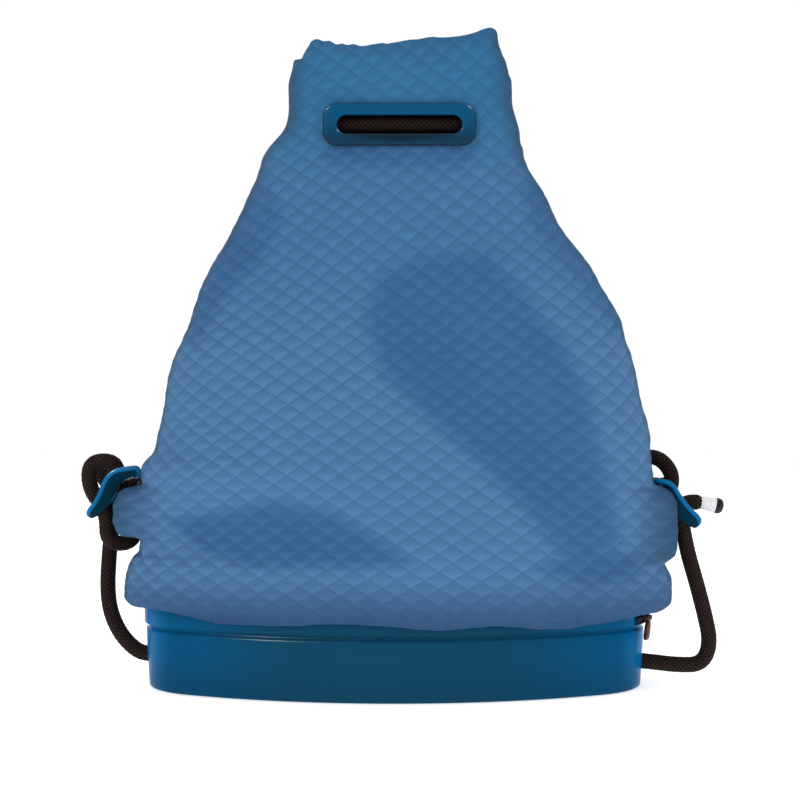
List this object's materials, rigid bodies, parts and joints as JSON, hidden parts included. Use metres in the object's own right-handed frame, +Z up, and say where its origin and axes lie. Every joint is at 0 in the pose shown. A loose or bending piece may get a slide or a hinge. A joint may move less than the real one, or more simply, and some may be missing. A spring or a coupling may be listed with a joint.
{
  "type": "drawstring bucket backpack",
  "caption": "Quilted drawstring sack on a moulded oval tray, closed and carried by one thick rope through eyelet plates.",
  "frame": {"origin": "middle of the tray's flat underside, where the bag stands", "axes": "+Z up out of the sack's mouth, -Y out of the front with the eyelet plate, +X to the right as seen from the front"},
  "size_m": [0.4262, 0.1836, 0.4327],
  "materials": {
    "tray_plastic": "glossy moulded blue plastic",
    "board_plastic": "plain dark board",
    "quilted_fabric": "matt blue diamond-quilted fabric",
    "lining_fabric": "plain woven blue lining",
    "tape_fabric": "woven dark tape",
    "plate_plastic": "glossy blue plastic",
    "rivet_metal": "satin steel",
    "rope_braid": "dark brown braided cord",
    "ferrule_metal": "bright ribbed metal",
    "cap_plastic": "black moulded cap",
    "coil_plastic": "dark nylon coil",
    "bronze_metal": "dark bronze metal"
  },
  "bodies": {
    "bag": {"base_tray": "tray_plastic", "floor_board": "board_plastic", "hem_ring": "tray_plastic", "front_panel": "quilted_fabric", "back_panel": "quilted_fabric", "left_side_tab": "quilted_fabric", "right_side_tab": "quilted_fabric", "front_lining": "lining_fabric", "back_lining": "lining_fabric", "mouth_facing": "lining_fabric", "left_seam_tape": "tape_fabric", "right_seam_tape": "tape_fabric", "rope_tunnel": "lining_fabric", "front_eyelet_plate": "plate_plastic", "back_eyelet_plate": "plate_plastic", "front_eyelet_backing": "board_plastic", "back_eyelet_backing": "board_plastic", "left_rope_plate": "plate_plastic", "right_rope_plate": "plate_plastic", "left_plate_rivets": "rivet_metal", "left_plate_washers": "rivet_metal", "right_plate_rivet": "rivet_metal", "rope_neck_run": "rope_braid", "rope_right_strap": "rope_braid", "rope_left_strap": "rope_braid", "rope_left_hitch": "rope_braid", "rope_left_lower": "rope_braid", "rope_base_run": "rope_braid", "rope_right_lower": "rope_braid", "rope_right_knot": "rope_braid", "rope_ferrule": "ferrule_metal", "rope_end_cap": "cap_plastic", "zip_tape": "tape_fabric", "zip_coil": "coil_plastic"},
    "slider": {"zip_slider": "bronze_metal"},
    "pull": {"zip_pull": "bronze_metal"}
  },
  "joints": [
    {"name": "zip_slider_travel", "type": "hinge", "parent": "bag", "child": "slider", "pos_m": [0.114, 0, 0.046], "axis": [0, 0, 1], "range_deg": [0, 78]},
    {"name": "zip_pull_swing", "type": "hinge", "parent": "slider", "child": "pull", "pos_m": [0.16375, -0.02647, 0.0465], "axis": [0.4697, 0.8828, 0], "range_deg": [-80, 0]}
  ]
}
